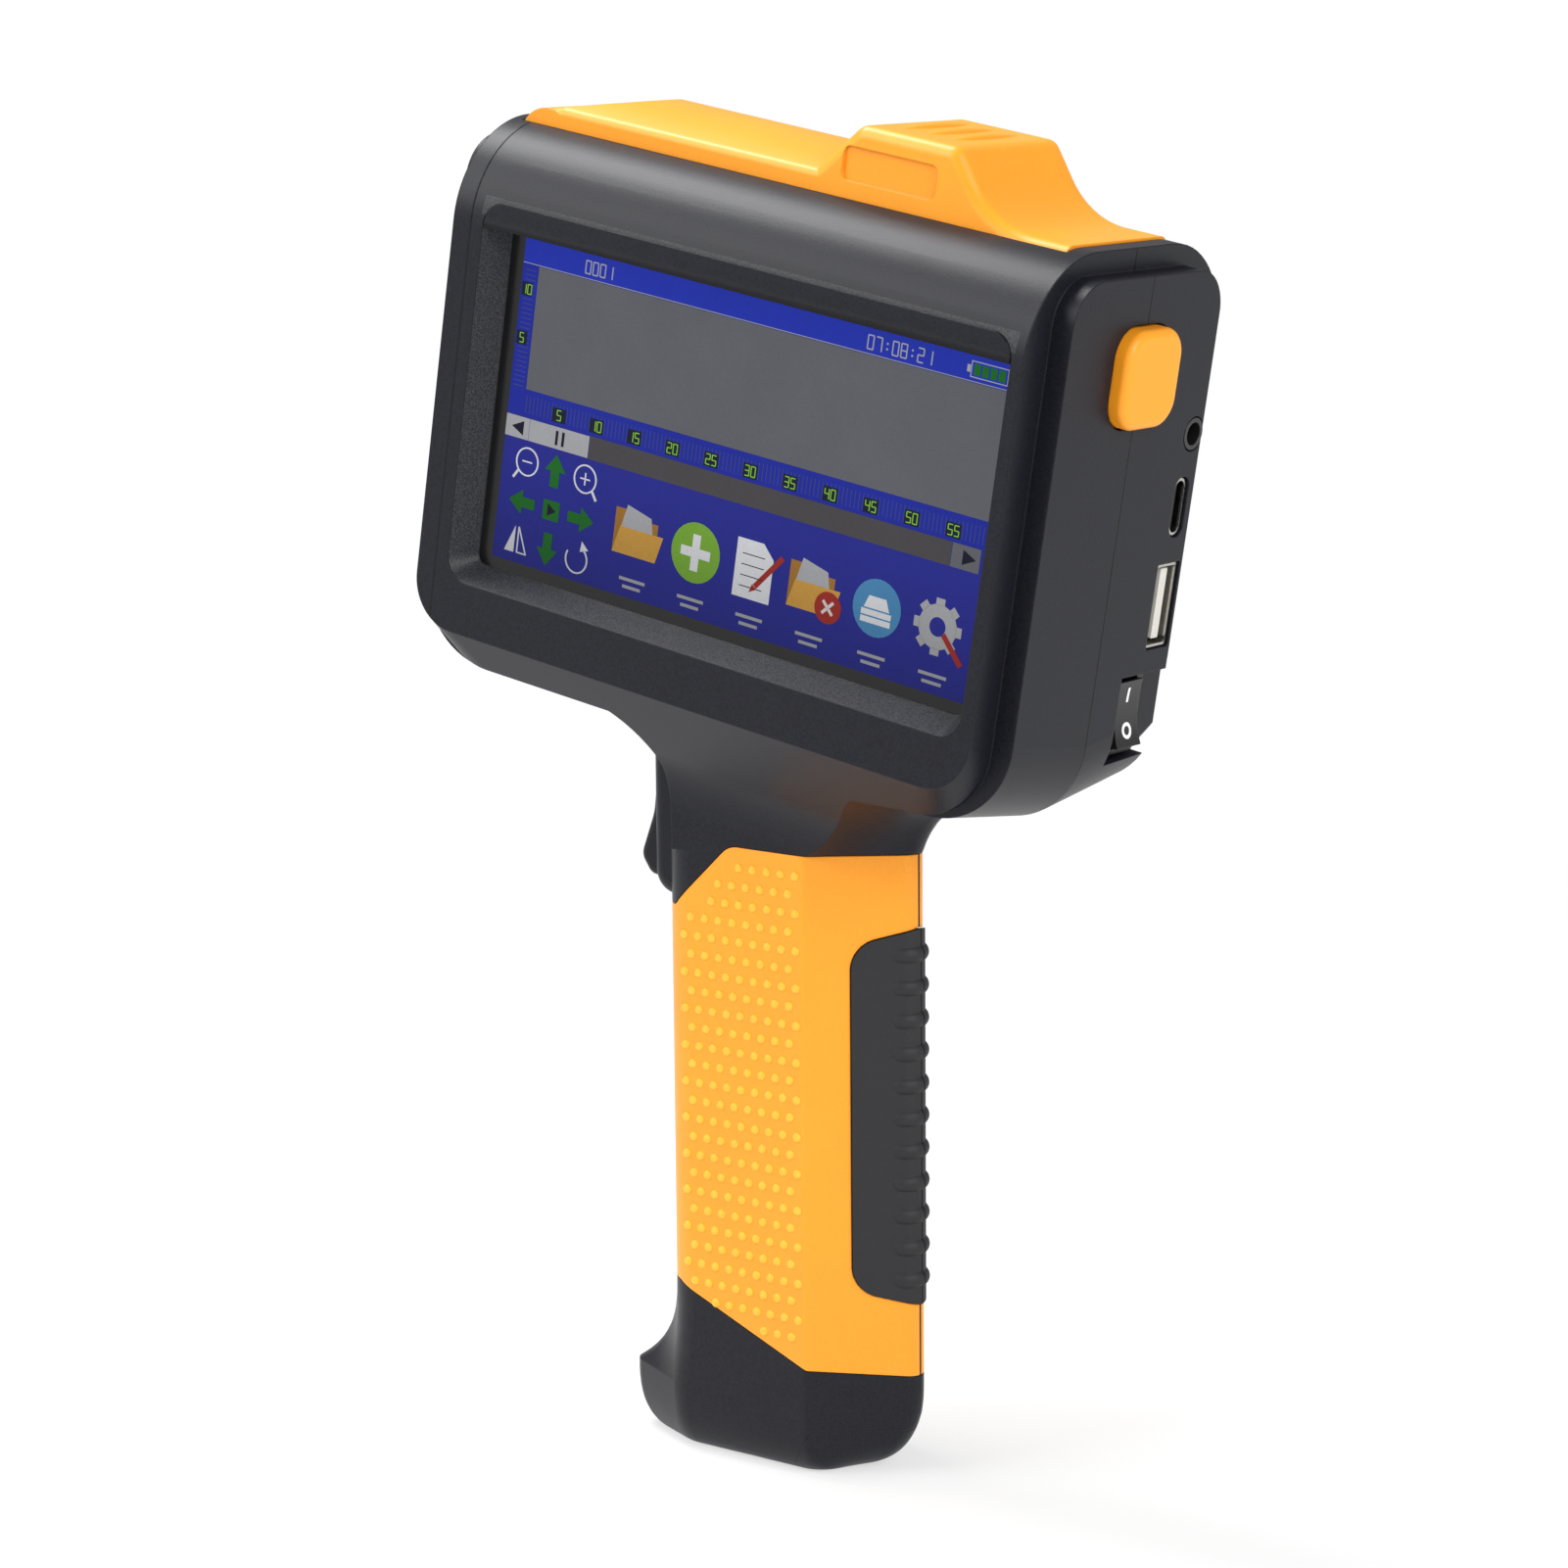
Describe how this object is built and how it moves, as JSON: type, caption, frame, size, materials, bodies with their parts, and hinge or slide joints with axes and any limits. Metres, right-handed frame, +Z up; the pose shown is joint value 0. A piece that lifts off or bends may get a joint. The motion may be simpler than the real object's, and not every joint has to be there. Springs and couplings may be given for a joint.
{
  "type": "handheld ink printer",
  "caption": "Handheld ink marking printer: tilted head with touch screen, hinged cartridge lid, pistol grip with trigger, rear sockets and rocker switch.",
  "frame": {"origin": "middle of the flat bottom of the grip's foot, on the parting plane of the casing", "axes": "+Z up along the grip, +X towards the rear end with the sockets, the screen faces -Y"},
  "size_m": [0.1292, 0.0522, 0.2179],
  "materials": {
    "charcoal": "finely sparked satin",
    "orange": "satin",
    "grip_rubber": "matt",
    "roller_rubber": "matt",
    "steel": "bright zinc",
    "touch_glass": "gloss, black behind",
    "lcd": "gloss",
    "frame_steel": "pressed sheet",
    "board": "solder mask",
    "black_plastic": "satin",
    "nozzle_metal": "gold plated",
    "socket_metal": "nickel",
    "white_plastic": "satin",
    "cell_sleeve": "shrink sleeve"
  },
  "bodies": {
    "casing": {"left_casing": "charcoal", "right_casing": "charcoal", "nose_frame": "charcoal", "base_cap": "charcoal", "left_grip_panel": "orange", "right_grip_panel": "orange", "left_grip_pad": "grip_rubber", "right_grip_pad": "grip_rubber", "casing_screws": "steel", "nose_screws": "steel", "frame_screws": "steel", "board_screws": "steel", "cradle_screws": "steel", "port_screws": "steel", "trigger_pin": "steel", "left_roller_axle": "steel", "right_roller_axle": "steel", "button_spring": "steel", "trigger_spring": "steel", "touch_glass": "touch_glass", "lcd_panel": "lcd", "lcd_frame": "frame_steel", "main_board": "board", "port_board": "board", "contact_board": "board", "cartridge_cradle": "black_plastic", "ink_cartridge": "black_plastic", "trigger_switch": "black_plastic", "power_switch": "black_plastic", "battery_tray": "black_plastic", "aux_jack": "black_plastic", "usb_c_tongue": "black_plastic", "nozzle_plate": "nozzle_metal", "usb_c_socket": "socket_metal", "usb_a_socket": "socket_metal", "usb_a_tongue": "white_plastic", "front_cell": "cell_sleeve", "rear_cell": "cell_sleeve"},
    "lid": {"cartridge_lid": "orange", "lid_hinge_pin": "steel", "lid_catch": "black_plastic"},
    "button": {"release_button": "orange"},
    "trigger_lever": {"trigger": "charcoal"},
    "rocker": {"power_rocker": "black_plastic"},
    "left_roller": {"left_guide_roller": "roller_rubber"},
    "right_roller": {"right_guide_roller": "roller_rubber"}
  },
  "joints": [
    {"name": "lid_hinge", "type": "hinge", "parent": "casing", "child": "lid", "pos_m": [-0.03221, 0, 0.21168], "axis": [0, -1, 0], "range_deg": [0, 60]},
    {"name": "button_slide", "type": "slide", "parent": "casing", "child": "button", "axis": [-0.9863, 0, 0.165], "range_m": [0, 0.0022], "stiffness_N_per_m": 500, "springref_m": -0.001, "deforming": ["button_spring"]},
    {"name": "trigger_pull", "type": "hinge", "parent": "casing", "child": "trigger_lever", "pos_m": [-0.0124, 0, 0.1136], "axis": [0, -1, 0], "range_deg": [0, 9], "stiffness_Nm_per_rad": 0.3, "springref_deg": -5.73, "deforming": ["trigger_spring"]},
    {"name": "rocker_tilt", "type": "hinge", "parent": "casing", "child": "rocker", "pos_m": [0.05784, 0.0135, 0.12513], "axis": [0, 1, 0], "range_deg": [0, 14]},
    {"name": "left_roller_spin", "type": "hinge", "parent": "casing", "child": "left_roller", "pos_m": [-0.0464, -0.0143, 0.17411], "axis": [0.165, 0, 0.9863], "continuous": true},
    {"name": "right_roller_spin", "type": "hinge", "parent": "casing", "child": "right_roller", "pos_m": [-0.0464, 0.0143, 0.17411], "axis": [0.165, 0, 0.9863], "continuous": true}
  ]
}
